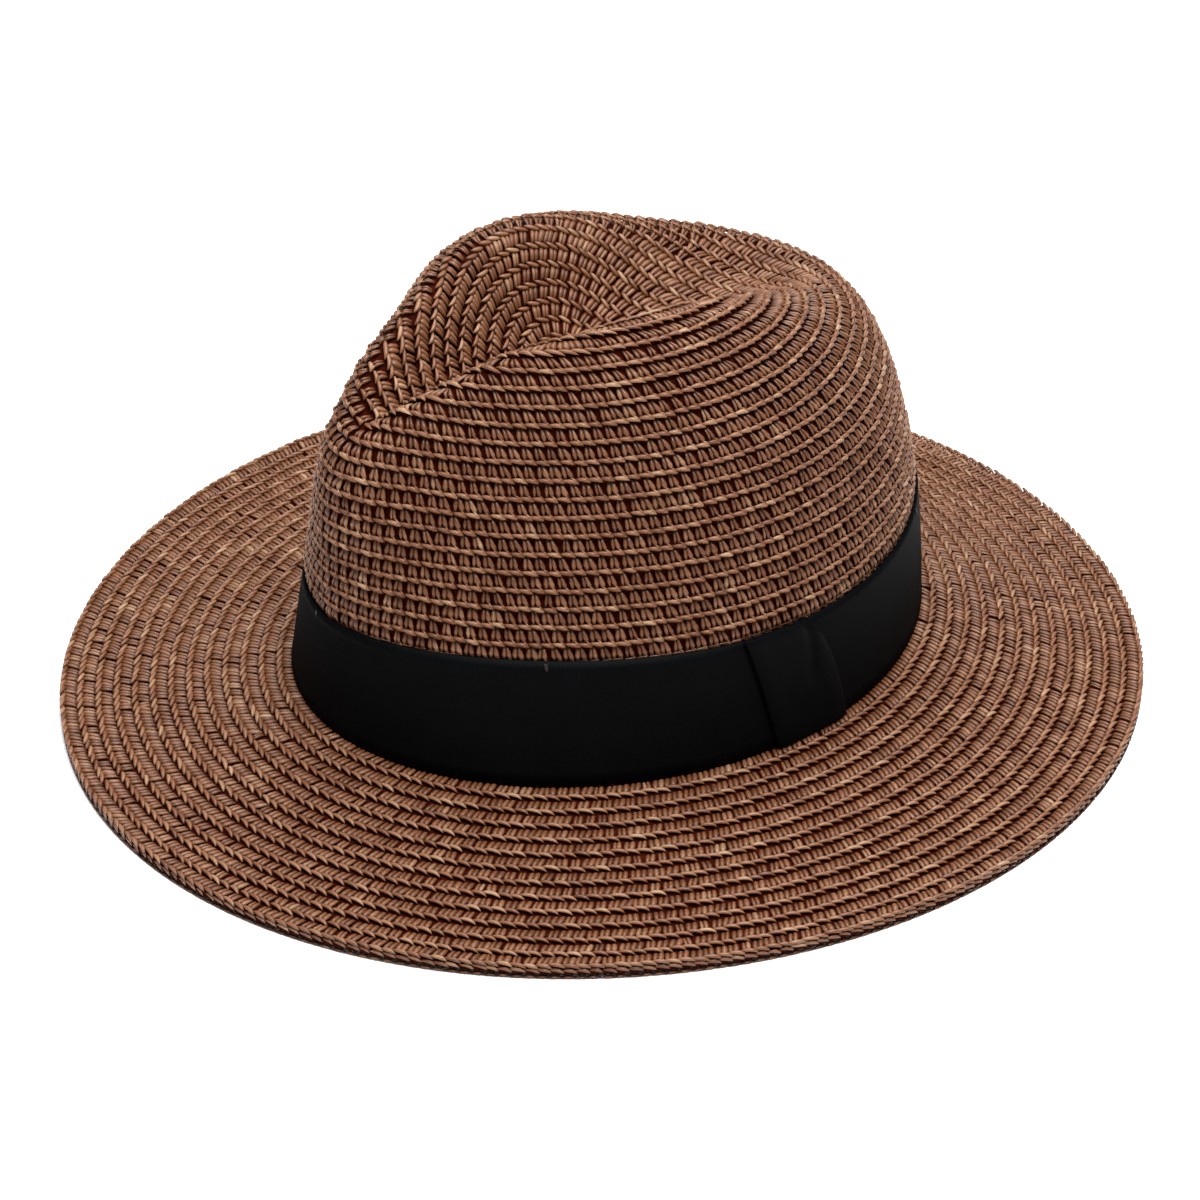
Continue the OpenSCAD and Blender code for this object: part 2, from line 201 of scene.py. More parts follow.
def on_grid(grid, t, column):
    """Reads between the points of a grid that has one row for each degree of t."""
    t = np.mod(t, 360)
    i = np.floor(t).astype(int) % 360
    after = (i + 1) % 360
    f = (t - np.floor(t))[..., None]
    column = np.clip(column, 0, grid.shape[1] - 1.001)
    j = np.floor(column).astype(int)
    g = (column - j)[..., None]
    return ((grid[i, j] * (1 - f) + grid[after, j] * f) * (1 - g)
            + (grid[i, j + 1] * (1 - f) + grid[after, j + 1] * f) * g)


class Skin:
    """A surface of sewn rows: points and outward normals at every angle t and row number k."""

    def __init__(self, lines, row_numbers, side):
        """lines has one polyline for each degree of t, and row_numbers the row number of each of its
        points. side is 1 where row numbers grow up the wall and -1 where they grow out over the brim."""
        self.first = float(row_numbers[:, 0].max())
        last = float(row_numbers[:, -1].min())
        self.rows = np.arange(self.first, last + ROW_SHARE / 2, ROW_SHARE)
        self.points = np.stack([on_line(self.rows, k, line) for line, k in zip(lines, row_numbers)])
        round_it = np.roll(self.points, -1, axis=0) - np.roll(self.points, 1, axis=0)
        self.normals = side * unit(np.cross(round_it, np.gradient(self.points, axis=1)))

    def place(self, t, k, height):
        """Points at height mm outside the surface."""
        t, k, height = np.broadcast_arrays(t, k, height)
        column = (k - self.first) / ROW_SHARE
        return on_grid(self.points, t, column) + unit(on_grid(self.normals, t, column)) * height[..., None]


degrees = np.arange(0.0, 360.0)


def dent_tree():
    """The dent as a surface that a plumb line can be dropped on."""
    lines = bezier(dent_curve(degrees), np.linspace(0, 1, 48))
    n, m = lines.shape[:2]
    faces = []
    for i in range(n):
        here, there = i * m, (i + 1) % n * m
        faces += [(here + j, there + j, there + j + 1, here + j + 1) for j in range(m - 1)]
        faces.append((here + m - 1, there + m - 1, n * m))
    middle = lines[:, -1].mean(axis=0)
    return BVHTree.FromPolygons([tuple(p) for p in [*lines.reshape(-1, 3), middle]], faces)


def softened(heights, passes):
    """Heights on rings round the dent's middle, smoothed everywhere but at the ridge."""
    for _ in range(passes):
        smooth = heights.copy()
        smooth[:, 1:-1] = (2 * heights[:, 1:-1] + heights[:, :-2] + heights[:, 2:]) / 4
        smooth = (2 * smooth + np.roll(smooth, 1, axis=0) + np.roll(smooth, -1, axis=0)) / 4
        smooth[:, 0] = heights[:, 0]
        smooth[:, -1] = smooth[:, -1].mean()
        heights = smooth
    return heights


def crown_lines():
    """For each degree of t, a line up the wall, over the ridge and down to the button in the dent."""
    wall = bezier(wall_curve(degrees), np.linspace(0, 1, 110))
    button = np.array([0, ridge_mid_y])
    share = np.linspace(0, 1, 56)
    top = ridge(degrees)
    plan = top[:, None, :2] + (button - top[:, None, :2]) * share[None, :, None]
    tree, heights = dent_tree(), np.zeros(plan.shape[:2])
    heights[:, 0] = top[:, 2]
    for i in range(len(degrees)):
        for j in range(1, len(share)):
            hit = tree.ray_cast(Vector((*plan[i, j], 2 * RIDGE_H)), Vector((0, 0, -1)))[0]
            heights[i, j] = hit.z if hit else heights[i, j - 1]
    dent = np.concatenate([plan, softened(heights, 14)[..., None]], axis=-1)
    return np.concatenate([wall, dent[:, 1:]], axis=1)


def crown_skin():
    """Rows of even width from the headline, that close up a little towards the button."""
    lines = crown_lines()
    steps = np.linalg.norm(np.diff(lines, axis=1), axis=-1)
    s = np.concatenate([np.zeros((len(lines), 1)), np.cumsum(steps, axis=1)], axis=1)
    whole = s[:, -1:]
    return Skin(lines, s / ROW_W + (CROWN_ROWS - whole / ROW_W) * (s / whole) ** 3, 1)


def brim_skin():
    """Rows of even width from 3 mm inside the headline out to the edge."""
    reach = brim_reach(degrees)[:, None]
    r = np.linspace(0, 1, 60)[None, :] * (reach + 3) - 3
    lines = np.stack([brim_point(np.full(len(out), t), out) for t, out in zip(degrees, r)])
    return Skin(lines, r / reach * BRIM_ROWS, -1)


crown, brim = crown_skin(), brim_skin()

# The foot of the wall, gridded by its height above the headline, for what lies on it
WALL_STEP = 0.5
foot_lines = bezier(wall_curve(degrees), np.linspace(0, 0.75, 90))
foot_rise = foot_lines[..., 2] - headline(degrees)[:, None, 2]
foot_heights = np.arange(-WALL_STEP, 60, WALL_STEP)
foot_grid = np.stack([on_line(foot_heights, rise, line) for line, rise in zip(foot_lines, foot_rise)])


def wall_point(t, z, off):
    """Points on the crown's wall, z above the headline and off outside the plait, in mm."""
    t, z, off = np.broadcast_arrays(np.asarray(t, float), z, off)
    return on_grid(foot_grid, t, z / WALL_STEP + 1) + outward(t) * off[..., None]


def on_wall(t, z, off):
    return worn(wall_point(t, z, off))


# The loop tape and the hook tab lie on a true circle at the back of the band
BAND_FACE = -PLAIT_T - GAP - SWEAT_T
back_curve = (opening_b * (1 + HEAD_EGG)) ** 2 / (opening_b * HEAD_RATIO)
strap_centre_y = opening_b * HEAD_RATIO - back_curve
strap_low = SWEAT_LOW + 5
strap_out = float(wall_point(180, strap_low + STRAP_W, BAND_FACE)[1]) - strap_centre_y - GAP
strap_base = float(headline(np.array(180.0))[2]) + strap_low


def on_strap(angle, z, radius):
    """Points round the strap's centre, z above the tape's lower edge, in metres as worn."""
    a = np.radians(angle)
    return worn(stack(radius * np.cos(a), strap_centre_y + radius * np.sin(a), strap_base + z))


# ---------------------------------------------------------------- camera and light


def look():
    """A long lens from the front left, a little above, held with the hat's own lean."""
    turn, height, distance = radians(50), radians(34), 1026.6
    back = np.array([sin(turn) * cos(height), -cos(turn) * cos(height), sin(height)])
    right = np.array([cos(turn), sin(turn), 0])
    base = worn(np.zeros(3))
    place = worn(back * distance)
    back, right = [unit(worn(v) - base) for v in (back, right)]
    up = np.cross(back, right)
    data = bpy.data.cameras.new("camera")
    data.lens, data.sensor_width = 100, 36
    data.shift_x, data.shift_y = -0.0044, 0.0083
    data.clip_end = 20
    camera = bpy.data.objects.new("camera", data)
    bpy.context.scene.collection.objects.link(camera)
    matrix = camera.matrix_world
    for row in range(3):
        for column, axis in enumerate((right, up, back, place)):
            matrix[row][column] = axis[row]
    camera.matrix_world = matrix
    bpy.context.scene.camera = camera


def lamp(name, place, size, power):
    """A rectangular lamp at a place in metres, turned to the middle of the hat."""
    middle = Vector((0, 0, 0.06))
    data = bpy.data.lights.new(name, "AREA")
    data.shape, data.size, data.size_y, data.energy = "RECTANGLE", size[0], size[1], power
    light = bpy.data.objects.new(name, data)
    bpy.context.scene.collection.objects.link(light)
    light.location = place
    light.rotation_euler = (middle - Vector(place)).to_track_quat("-Z", "Y").to_euler()


def studio():
    """Even white light from all round, one wide lamp overhead and two small ones that shape the crown."""
    world = bpy.data.worlds.new("studio")
    bpy.context.scene.world = world
    world.use_nodes = True
    background = world.node_tree.nodes["Background"].inputs
    background["Color"].default_value = (1, 1, 1, 1)
    background["Strength"].default_value = 0.36
    lamp("overhead", (0.0, 0.1, 2.2), (2.4, 2.4), 84)
    lamp("back", (-0.5, 0.6, 1.3), (0.5, 0.5), 5)
    lamp("key", (0.55, -0.25, 1.35), (0.3, 0.3), 14)
    bpy.context.scene.view_settings.view_transform = "Standard"


# ---------------------------------------------------------------- materials


def linear(code):
    """An sRGB hex colour as the linear numbers that a shader takes."""
    parts = [int(code[i:i + 2], 16) / 255 for i in (1, 3, 5)]
    return tuple(c / 12.92 if c <= 0.04045 else ((c + 0.055) / 1.055) ** 2.4 for c in parts) + (1.0,)


def add(tree, kind, links=None, **settings):
    """Adds a node. A setting is an attribute of the node or, by its name, the value of an input."""
    node = tree.nodes.new("ShaderNode" + kind)
    for name, value in settings.items():
        socket = name.replace("_", " ")
        if hasattr(node, name):
            setattr(node, name, value)
        elif socket in node.inputs:
            node.inputs[socket].default_value = value
        else:
            node.inputs[int(name.strip("i"))].default_value = value
    for name, source in (links or {}).items():
        tree.links.new(source, node.inputs[name])
    return node


def ramp(tree, source, stops):
    """A colour ramp through (place, hex colour) stops."""
    node = add(tree, "ValToRGB", {"Fac": source})
    while len(node.color_ramp.elements) < len(stops):
        node.color_ramp.elements.new(0.5)
    for element, (place, code) in zip(node.color_ramp.elements, stops):
        element.position, element.color = place, linear(code)
    return node.outputs["Color"]


def finish(name, **settings):
    """A new material, its node tree and the inputs of its Principled shader."""
    material = bpy.data.materials.new(name)
    material.use_nodes = True
    tree = material.node_tree
    shader = tree.nodes["Principled BSDF"].inputs
    for key, value in settings.items():
        shader[key.replace("_", " ")].default_value = value
    return material, tree, shader


def twisted_paper():
    """Twisted paper yarn, dyed in mixed browns and knitted into plait: a soft satin on each rounded
    strand, lengthwise creases of the twist, and painted shade, near-black red-brown, where strands dive
    under."""
    material, tree, shader = finish("twisted_paper_straw", Roughness=0.4, IOR=1.42)
    tone = add(tree, "Attribute", attribute_name="tone").outputs["Fac"]
    rise = add(tree, "Attribute", attribute_name="rise").outputs["Fac"]
    uv = add(tree, "UVMap", uv_map="strand").outputs["UV"]
    # creases of the twist: about 3 to a millimetre across the strand, drawn out 6 times along it
    stretched = add(tree, "Mapping", {"Vector": uv}, Scale=(0.5, 3.0, 1)).outputs["Vector"]
    crease = add(tree, "TexNoise", {"Vector": stretched}, Scale=1.0, Detail=3.0, Roughness=0.6)
    crease = crease.outputs["Fac"]
    dye = ramp(tree, tone, [(0.0, "#54301d"), (0.35, "#70472d"), (0.6, "#83573b"), (0.8, "#987154"),
                            (1.0, "#b39172")])
    creased = add(tree, "Mix", {0: crease, 6: dye}, data_type="RGBA", blend_type="MULTIPLY",
                  i7=linear("#b9a79c"))
    # painted shade: the lower a point lies in its stitch, by its rise number, the nearer its colour goes
    # to near-black red-brown
    depth = add(tree, "MapRange", {"Value": rise}, From_Min=0.30, From_Max=1.0).outputs["Result"]
    colour = add(tree, "Mix", {0: depth, 7: creased.outputs[2]}, data_type="RGBA", i6=linear("#220500"))
    bump = add(tree, "Bump", {"Height": crease}, Strength=0.35, Distance=0.0002)
    tree.links.new(colour.outputs[2], shader["Base Color"])
    tree.links.new(bump.outputs["Normal"], shader["Normal"])
    return material


def painted_shade_core():
    """Painted shade: the straw deep between the stitches, that light hardly reaches, coloured a matt
    red-black that stands in for the shade there.
    """
    material, tree, shader = finish("painted_shade_straw_core", Roughness=0.9, IOR=1.1)
    place = add(tree, "TexCoord").outputs["Object"]
    # strand-sized blotches, about 1.5 mm
    blotch = add(tree, "TexNoise", {"Vector": place}, Scale=650.0, Detail=2.0).outputs["Fac"]
    tree.links.new(ramp(tree, blotch, [(0.3, "#220500"), (0.7, "#3a0e05")]), shader["Base Color"])
    return material


def plait_back():
    """The inner face of the same plait: flatter, duller knit that shows each row as a low rib, darkened
    with painted shade between the legs and where each row passes under the next.
    """
    material, tree, shader = finish("plait_reverse", Roughness=0.7, IOR=1.46)
    rows = add(tree, "UVMap", uv_map="rows").outputs["UV"]
    split = add(tree, "SeparateXYZ", {"Vector": rows})
    # two legs to a stitch of 3.5 mm: one wave every 1.75 mm along the row, that starts anew on each row
    row = add(tree, "Math", {0: split.outputs["Y"]}, operation="FLOOR")
    start = add(tree, "Math", {0: row.outputs[0]}, operation="MULTIPLY", i1=2.4)
    legs = add(tree, "Math", {0: split.outputs["X"], 2: start.outputs[0]}, operation="MULTIPLY_ADD",
               i1=2 * pi / (STITCH / 2))
    wave = add(tree, "Math", {0: legs.outputs[0]}, operation="SINE")
    # and a dark line of painted shade where each row passes under the next
    across = add(tree, "Math", {0: split.outputs["Y"]}, operation="PINGPONG", i1=0.5)
    inside = add(tree, "MapRange", {"Value": across.outputs[0]}, From_Min=0.02, From_Max=0.16)
    leg = add(tree, "Math", {0: wave.outputs[0]}, operation="MULTIPLY_ADD", i1=0.4, i2=0.6)
    height = add(tree, "Math", {0: leg.outputs[0], 1: inside.outputs["Result"]}, operation="MULTIPLY")
    mottle = add(tree, "TexNoise", {"Vector": rows}, Scale=0.55, Detail=2.0).outputs["Fac"]
    dye = ramp(tree, mottle, [(0.3, "#5a3427"), (0.5, "#7a503c"), (0.7, "#8f6b50")])
    # painted shade: where the height is low the colour goes to near-black brown
    colour = add(tree, "Mix", {0: height.outputs[0], 7: dye}, data_type="RGBA", i6=linear("#2a110b"))
    bump = add(tree, "Bump", {"Height": height.outputs[0]}, Strength=0.6, Distance=0.0006)
    tree.links.new(colour.outputs[2], shader["Base Color"])
    tree.links.new(bump.outputs["Normal"], shader["Normal"])
    return material


def weave(name, deep, face, threads, roughness, turn=0.0, shine=1.15):
    """A woven cloth on its own UV map in mm. threads is how many threads there are to a mm each way."""
    material, tree, shader = finish(name, Roughness=roughness, IOR=shine)
    cloth = add(tree, "UVMap", uv_map="cloth").outputs["UV"]
    laid = add(tree, "Mapping", {"Vector": cloth}, Scale=(*threads, 1), Rotation=(0, 0, turn))
    laid = laid.outputs["Vector"]
    yarn = add(tree, "TexNoise", {"Vector": laid}, Scale=1.0, Detail=2.0).outputs["Fac"]
    patches = add(tree, "TexNoise", {"Vector": cloth}, Scale=0.09, Detail=2.0).outputs["Fac"]
    both = add(tree, "Math", {0: patches, 2: yarn}, operation="MULTIPLY_ADD", i1=0.25)
    colour = ramp(tree, both.outputs[0], [(0.42, deep), (0.75, face)])
    bump = add(tree, "Bump", {"Height": yarn}, Strength=0.35, Distance=0.00012)
    tree.links.new(colour, shader["Base Color"])
    tree.links.new(bump.outputs["Normal"], shader["Normal"])
    return material


def grosgrain():
    """Grosgrain ribbon of black rayon: fine ribs across it and a dull soft shine. The ribs are in the
    mesh, and the material adds the warp threads, 4 to a millimetre."""
    return weave("black_grosgrain", "#010101", "#060709", (1.5, 4.0), roughness=0.5, shine=1.11)


def cotton_twill():
    """Black cotton twill of a sweatband: matt, with fine slanting lines about 0.5 mm apart."""
    return weave("cotton_twill", "#0c0c0d", "#2a2a2d", (0.5, 2.2), roughness=0.85, turn=radians(38))


def spun_thread():
    """Polyester sewing thread: near-black, with a slight shine and a shade that comes and goes."""
    material, tree, shader = finish("polyester_thread", Roughness=0.45, IOR=1.5)
    place = add(tree, "TexCoord").outputs["Object"]
    # soft bands about 6 mm apart
    bands = add(tree, "TexWave", {"Vector": place}, Scale=62.5, bands_direction="DIAGONAL")
    colour = ramp(tree, bands.outputs["Fac"], [(0.0, "#0c0807"), (1.0, "#1f1613")])
    bump = add(tree, "Bump", {"Height": bands.outputs["Fac"]}, Strength=0.3, Distance=0.0001)
    tree.links.new(colour, shader["Base Color"])
    tree.links.new(bump.outputs["Normal"], shader["Normal"])
    return material


def drawn_nylon():
    """Clear drawn nylon line, a little milky."""
    material, tree, shader = finish("drawn_nylon", Roughness=0.25, IOR=1.53)
    place = add(tree, "TexCoord").outputs["Object"]
    haze = add(tree, "TexNoise", {"Vector": place}, Scale=90.0, Detail=2.0).outputs["Fac"]
    tree.links.new(ramp(tree, haze, [(0.3, "#b9b4a6"), (0.7, "#d6d2c8")]), shader["Base Color"])
    return material


def brushed_loop():
    """Brushed nylon loop tape: a dull black nap of tiny loops."""
    material, tree, shader = finish("brushed_loop_tape", Roughness=0.85, IOR=1.5, Sheen_Weight=0.25)
    cloth = add(tree, "UVMap", uv_map="cloth").outputs["UV"]
    # loops about half a millimetre across
    nap = add(tree, "TexVoronoi", {"Vector": cloth}, Scale=2.0)
    colour = ramp(tree, nap.outputs["Distance"], [(0.0, "#2a2a2d"), (0.7, "#0f0f10")])
    bump = add(tree, "Bump", {"Height": nap.outputs["Distance"]}, Strength=0.6, Distance=0.0003)
    tree.links.new(colour, shader["Base Color"])
    tree.links.new(bump.outputs["Normal"], shader["Normal"])
    return material


def woven_tab():
    """The woven nylon back of hook tape: a tight dark basket weave."""
    material, tree, shader = finish("woven_hook_tape", Roughness=0.6, IOR=1.5)
    cloth = add(tree, "UVMap", uv_map="cloth").outputs["UV"]
    # yarns 0.9 mm apart one way and 0.7 mm the other
    basket = add(tree, "TexBrick", {"Vector": cloth}, Scale=1.0, Mortar_Size=0.09, Mortar_Smooth=0.5,
                 Brick_Width=0.9, Row_Height=0.7, Color1=linear("#2c2c30"), Color2=linear("#232326"),
                 Mortar=linear("#0b0b0c"))
    bump = add(tree, "Bump", {"Height": basket.outputs["Fac"]}, Strength=0.5, Distance=0.0002, invert=True)
    tree.links.new(basket.outputs["Color"], shader["Base Color"])
    tree.links.new(bump.outputs["Normal"], shader["Normal"])
    return material


def woven_satin():
    """A bare woven satin label: smooth black face with a faint lengthwise thread."""
    material, tree, shader = finish("woven_satin", Roughness=0.4, IOR=1.5, Sheen_Weight=0.1)
    cloth = add(tree, "UVMap", uv_map="cloth").outputs["UV"]
    threads = add(tree, "Mapping", {"Vector": cloth}, Scale=(0.4, 6.0, 1)).outputs["Vector"]
    yarn = add(tree, "TexNoise", {"Vector": threads}, Scale=1.0, Detail=2.0).outputs["Fac"]
    bump = add(tree, "Bump", {"Height": yarn}, Strength=0.25, Distance=0.0001)
    tree.links.new(ramp(tree, yarn, [(0.3, "#202023"), (0.7, "#34343a")]), shader["Base Color"])
    tree.links.new(bump.outputs["Normal"], shader["Normal"])
    return material


def painted_floor():
    """A matt white studio floor."""
    material, tree, shader = finish("white_floor", Roughness=0.9)
    place = add(tree, "TexCoord").outputs["Object"]
    speck = add(tree, "TexNoise", {"Vector": place}, Scale=30.0, Detail=2.0).outputs["Fac"]
    tree.links.new(ramp(tree, speck, [(0.0, "#f4f4f4"), (1.0, "#f9f9f9")]), shader["Base Color"])
    return material


# ---------------------------------------------------------------- meshes


def mesh_piece(name, points, groups, material):
    """A piece from points in metres and groups of faces. All faces in a group have as many corners."""
    loops = np.concatenate([g.reshape(-1) for g in groups])
    sizes = np.concatenate([np.full(len(g), g.shape[1]) for g in groups])
    starts = np.cumsum(sizes) - sizes
    data = bpy.data.meshes.new(name)
    data.vertices.add(len(points))
    data.vertices.foreach_set("co", np.asarray(points, np.float32).reshape(-1))
    data.loops.add(len(loops))
    data.loops.foreach_set("vertex_index", loops.astype(np.int32))
    data.polygons.add(len(sizes))
    data.polygons.foreach_set("loop_start", starts.astype(np.int32))
    data.polygons.foreach_set("use_smooth", np.full(len(sizes), True))
    data.update(calc_edges=True)
    data.validate()
    piece = bpy.data.objects.new(name, data)
    bpy.context.scene.collection.objects.link(piece)
    data.materials.append(material)
    return piece


def lay_uv(piece, layer, per_vertex):
    """Gives a piece a UV map from two numbers at each vertex."""
    data = piece.data
    corner = np.zeros(len(data.loops), np.int32)
    data.loops.foreach_get("vertex_index", corner)
    uv = data.uv_layers.get(layer) or data.uv_layers.new(name=layer)
    uv.data.foreach_set("uv", np.asarray(per_vertex, np.float32)[corner].reshape(-1))


def lay_number(piece, name, per_vertex):
    """Gives a piece a named number at each vertex, that its material reads."""
    layer = piece.data.attributes.new(name, "FLOAT", "POINT")
    layer.data.foreach_set("value", np.asarray(per_vertex, np.float32))


def dressed(piece, body="hat", stands_for=()):
    """Says which body carries a piece, and hides the parts of the model that it stands for."""
    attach(piece, body)
    if stands_for:
        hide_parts(*stands_for)


def blank_strand(sides, segments):
    """A straight strand one unit long: its points as (angle, share of the length), and its faces."""
    bpy.ops.object.select_all(action="DESELECT")
    bpy.ops.mesh.primitive_cylinder_add(vertices=sides, radius=1, depth=1, location=(0, 0, 0.5))
    rod = bpy.context.object
    bpy.ops.object.transform_apply(location=True, rotation=False, scale=False)
    bpy.ops.object.mode_set(mode="EDIT")
    for cut in range(1, segments):
        bpy.ops.mesh.select_all(action="SELECT")
        bpy.ops.mesh.bisect(plane_co=(0, 0, cut / segments), plane_no=(0, 0, 1))
    bpy.ops.object.mode_set(mode="OBJECT")
    co = np.array([v.co for v in rod.data.vertices])
    angle = np.arctan2(co[:, 1], co[:, 0])
    faces = [tuple(p.vertices) for p in rod.data.polygons]
    bpy.data.objects.remove(rod)
    return angle, co[:, 2], faces


def strand(sides, along, widths, thicknesses, lead):
    """One strand of the plait, laid through the points along. lead is the direction, in the plane of
    the plait, that its width is measured in. Gives its points and faces, and where each point is along
    the strand and round it, as shares."""
    angle, share, faces = blank_strand(sides, len(along) - 1)
    at = np.linspace(0, 1, len(along))
    breadth = np.interp(share, at, widths) * np.cos(angle)
    depth = np.interp(share, at, thicknesses) * np.sin(angle)
    points = on_line(share, at, np.array(along)) + np.array(lead) * breadth[:, None] + Z * depth[:, None]
    return points, faces, np.stack([share, angle / (2 * pi)], axis=-1)


def facing_out(points, faces):
    """The same closed strand with its faces turned outwards."""
    volume = 0.0
    for f in faces:
        for a, b in zip(f[1:-1], f[2:]):
            volume += np.dot(points[f[0]], np.cross(points[a], points[b]))
    return faces if volume > 0 else [f[::-1] for f in faces]


ALONG_ROW, ACROSS_ROW, SLANTED = (1, 0, 0), (0, 1, 0), (0.8, 0.6, 0)


def plain_strands(w, p):
    """The light stitch of the underside: two legs and a short link."""
    leg_widths, leg_depths = (0.40, 0.78, 0.48), (0.3, 0.6, 0.4)
    return [
        strand(4, [(-0.35, 1.1 * w, -0.8), (-0.85, 0.6 * w, 0.15), (-0.80, 0.2 * w, -0.3)],
               leg_widths, leg_depths, ALONG_ROW),
        strand(4, [(0.40, 1.1 * w, -0.8), (0.78, 0.6 * w, 0.20), (0.85, 0.2 * w, -0.3)],
               leg_widths, leg_depths, ALONG_ROW),
        strand(4, [(-0.62 * p, 0.09 * w, -0.3), (0.05 * p, 0.14 * w, 0.50), (0.60 * p, 0.05 * w, -0.25)],
               (0.30, 0.85, 0.30), (0.22, 0.50, 0.24), ACROSS_ROW)]


def steep_strands(w, p):
    """The stitch of the wall: teardrop legs that lean together at the top, and a link with a short
    strand across it."""
    return [
        strand(5, [(-0.40, 1.06 * w, -1.05), (-0.60, 0.84 * w, -0.25), (-0.82, 0.52 * w, 0.22),
                   (-0.92, 0.20 * w, -0.15)],
               (0.30, 0.52, 0.62, 0.46), (0.26, 0.40, 0.46, 0.34), ALONG_ROW),
        strand(5, [(0.32, 1.06 * w, -1.05), (0.44, 0.84 * w, -0.20), (0.66, 0.50 * w, 0.36),
                   (0.84, 0.20 * w, -0.05)],
               (0.30, 0.56, 0.76, 0.56), (0.26, 0.42, 0.52, 0.38), ALONG_ROW),
        strand(5, [(-0.68 * p, 0.14 * w, -0.30), (-0.36 * p, 0.16 * w, 0.30), (0, 0.15 * w, 0.58),
                   (0.30 * p, 0.12 * w, 0.62), (0.52 * p, 0.04 * w, 0.14), (0.64 * p, -0.03 * w, -0.35)],
               (0.22, 0.50, 0.70, 0.72, 0.46, 0.22), (0.20, 0.38, 0.48, 0.48, 0.36, 0.20), ACROSS_ROW),
        strand(4, [(0.14 * p, 0.36 * w, 0.20), (0.36 * p, 0.22 * w, 0.80), (0.58 * p, 0.03 * w, 0.20)],
               (0.20, 0.34, 0.20), (0.20, 0.28, 0.20), SLANTED)]


def broad_strands(w, p, wide, sunk, dive):
    """The stitch of the brim and the top: broad legs that lean one way, and a link over their feet. wide
    widens the legs, sunk lowers their middles, and dive is the height of their upper ends."""
    left, right = np.array([0.34, 0.60, 0.70, 0.48]), np.array([0.36, 0.66, 0.80, 0.54])
    return [
        strand(5, [(-0.15, 1.1 * w, dive), (-0.50, 0.83 * w, 0.10 - sunk), (-1.00, 0.52 * w, 0.26 - sunk),
                   (-1.35, 0.22 * w, 0)],
               wide * left, (0.28, 0.42, 0.46, 0.34), ALONG_ROW),
        strand(5, [(1.35, 1.1 * w, dive), (1.10, 0.83 * w, 0.16 - sunk), (0.64, 0.52 * w, 0.34 - sunk),
                   (0.25, 0.22 * w, 0.05)],
               wide * right, (0.28, 0.44, 0.50, 0.38), ALONG_ROW),
        strand(5, [(-0.72 * p, 0.24 * w, 0.12), (-0.38 * p, 0.22 * w, 0.46), (0, 0.17 * w, 0.62),
                   (0.32 * p, 0.10 * w, 0.62), (0.56 * p, 0.02 * w, 0.34), (0.68 * p, -0.04 * w, 0)],
               (0.32, 0.62, 0.74, 0.72, 0.50, 0.26), (0.24, 0.44, 0.52, 0.52, 0.42, 0.24), ACROSS_ROW)]


def stitch_model(strands):
    """One knitted stitch of the plait, in mm: its two legs come first, and then the chain link along the
    row's lower edge. x runs along the row, y up from its lower edge and z out of it. Gives its points, its
    faces, each point's place on its strand, and the number of its strand."""
    points, faces, marks, number = [], [], [], []
    start = 0
    for index, (q, f, m) in enumerate(strands):
        faces += [tuple(start + v for v in face) for face in facing_out(q, f)]
        points.append(q)
        marks.append(m)
        number.append(np.full(len(q), index))
        start += len(q)
    return np.concatenate(points), faces, np.concatenate(marks), np.concatenate(number)


# The spiral of the rows steps from one row to the next behind the head, so the rows look level in front
STEP_FROM, STEP_TO = 140, 220
# Where the middle of a stitch lies across its row
ROW_MIDDLE = 0.45


def spiral_step(t):
    """How much of a row the spiral has stepped up by at the angle t."""
    share = np.clip((np.mod(t, 360) - STEP_FROM) / (STEP_TO - STEP_FROM), 0, 1)
    return share * share * (3 - 2 * share)


# How unevenly the stitches are made, as standard deviations. A leg's width and a link's length are shares
# of their own, and lean, places and lift are in mm. A tone is a share of the dye's range.
LEG_SPREAD, LINK_SPREAD, LEAN, ALONG, ACROSS, LIFT = 0.12, 0.07, 0.45, 0.14, 0.10, 0.11
STITCH_TONE, STRAND_TONE, LINK_LIGHTER = 0.09, 0.10, 0.12
# The stitches of the underside: how deep in the plait they are rooted, and their share of full height
UNDER_ROOT, UNDER_SHARE = 0.45, 0.4


